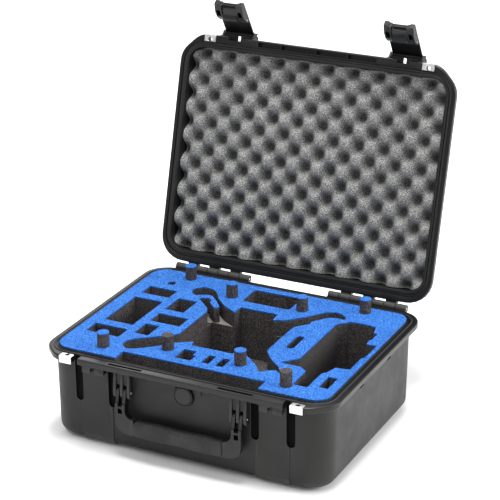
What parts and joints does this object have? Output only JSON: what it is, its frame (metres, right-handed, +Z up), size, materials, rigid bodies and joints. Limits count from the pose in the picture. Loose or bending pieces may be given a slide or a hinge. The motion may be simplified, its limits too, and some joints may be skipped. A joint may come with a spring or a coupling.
{
  "type": "drone carrying case",
  "caption": "Hinged hard-shell carrying case with a foam insert cut to hold a small multirotor, its controller and accessories, with latches and a folding handle.",
  "frame": {"origin": "centre of the foam insert in plan, on the plane of the feet", "axes": "+X to the right along the front with the latches, +Y to the hinges, +Z up"},
  "size_m": [0.52, 0.5762, 0.6335],
  "materials": {
    "shell_plastic": "satin",
    "latch_plastic": "satin",
    "rubber": "matte",
    "steel": "satin",
    "charcoal_foam": "matte",
    "grey_foam": "matte",
    "blue_foam": "matte"
  },
  "bodies": {
    "case": {"base_shell": "shell_plastic", "hinge_pin_left": "steel", "hinge_pin_right": "steel", "base_plate_left": "steel", "base_plate_right": "steel", "handle_pin_left": "steel", "handle_pin_right": "steel", "valve_body": "latch_plastic", "valve_ring": "rubber", "foam_blue_sheet": "blue_foam", "foam_upper_left_rear": "charcoal_foam", "foam_upper_left_front": "charcoal_foam", "foam_upper_inner_rear": "charcoal_foam", "foam_upper_inner_front": "charcoal_foam", "foam_upper_rear": "charcoal_foam", "foam_upper_front": "charcoal_foam", "foam_upper_right_rear": "charcoal_foam", "foam_upper_right_front": "charcoal_foam", "foam_lower_left_rear": "charcoal_foam", "foam_lower_left_front": "charcoal_foam", "foam_lower_inner_rear": "charcoal_foam", "foam_lower_inner_front": "charcoal_foam", "foam_lower_rear": "charcoal_foam", "foam_lower_front": "charcoal_foam", "foam_lower_right_rear": "charcoal_foam", "foam_lower_right_front": "charcoal_foam", "foam_floor_pad": "charcoal_foam", "foam_rest_pad": "grey_foam", "foam_post_1": "charcoal_foam", "foam_post_2": "charcoal_foam", "foam_post_3": "charcoal_foam", "foam_post_4": "charcoal_foam", "foam_post_5": "charcoal_foam", "foam_post_6": "charcoal_foam", "foam_post_7": "charcoal_foam", "foam_post_8": "charcoal_foam", "foam_post_cap_1": "blue_foam", "foam_post_cap_2": "blue_foam", "foam_post_cap_3": "blue_foam", "foam_post_cap_4": "blue_foam", "foam_post_cap_5": "blue_foam", "foam_post_cap_7": "blue_foam"},
    "lid": {"lid_shell": "shell_plastic", "lid_gasket": "rubber", "lid_foam": "charcoal_foam", "lid_plate_left": "steel", "lid_plate_right": "steel", "latch_pin_left": "steel", "latch_pin_right": "steel"},
    "handle": {"handle_frame": "latch_plastic", "handle_grip": "rubber"},
    "latch_left": {"latch_lever_left": "latch_plastic", "trigger_pin_left": "steel", "trigger_spring_left": "steel"},
    "trigger_left": {"latch_trigger_left": "latch_plastic"},
    "latch_right": {"latch_lever_right": "latch_plastic", "trigger_pin_right": "steel", "trigger_spring_right": "steel"},
    "trigger_right": {"latch_trigger_right": "latch_plastic"}
  },
  "joints": [
    {"name": "lid_hinge", "type": "hinge", "parent": "case", "child": "lid", "pos_m": [0, 0.212, 0.1595], "axis": [1, 0, 0], "range_deg": [0, 104.7]},
    {"name": "latch_left", "type": "hinge", "parent": "lid", "child": "latch_left", "pos_m": [-0.1585, 0.34403, 0.56424], "axis": [1, 0, 0], "range_deg": [-40, 43]},
    {"name": "trigger_left", "type": "hinge", "parent": "latch_left", "child": "trigger_left", "pos_m": [-0.1585, 0.3156, 0.59892], "axis": [1, 0, 0], "range_deg": [-12, 0], "stiffness_Nm_per_rad": 0.15, "springref_deg": 5.73},
    {"name": "latch_right", "type": "hinge", "parent": "lid", "child": "latch_right", "pos_m": [0.1585, 0.34403, 0.56424], "axis": [1, 0, 0], "range_deg": [-40, 43]},
    {"name": "trigger_right", "type": "hinge", "parent": "latch_right", "child": "trigger_right", "pos_m": [0.1585, 0.3156, 0.59892], "axis": [1, 0, 0], "range_deg": [-12, 0], "stiffness_Nm_per_rad": 0.15, "springref_deg": 5.73},
    {"name": "handle_fold", "type": "hinge", "parent": "case", "child": "handle", "pos_m": [0, -0.198, 0.115], "axis": [-1, 0, 0], "range_deg": [0, 90]}
  ]
}
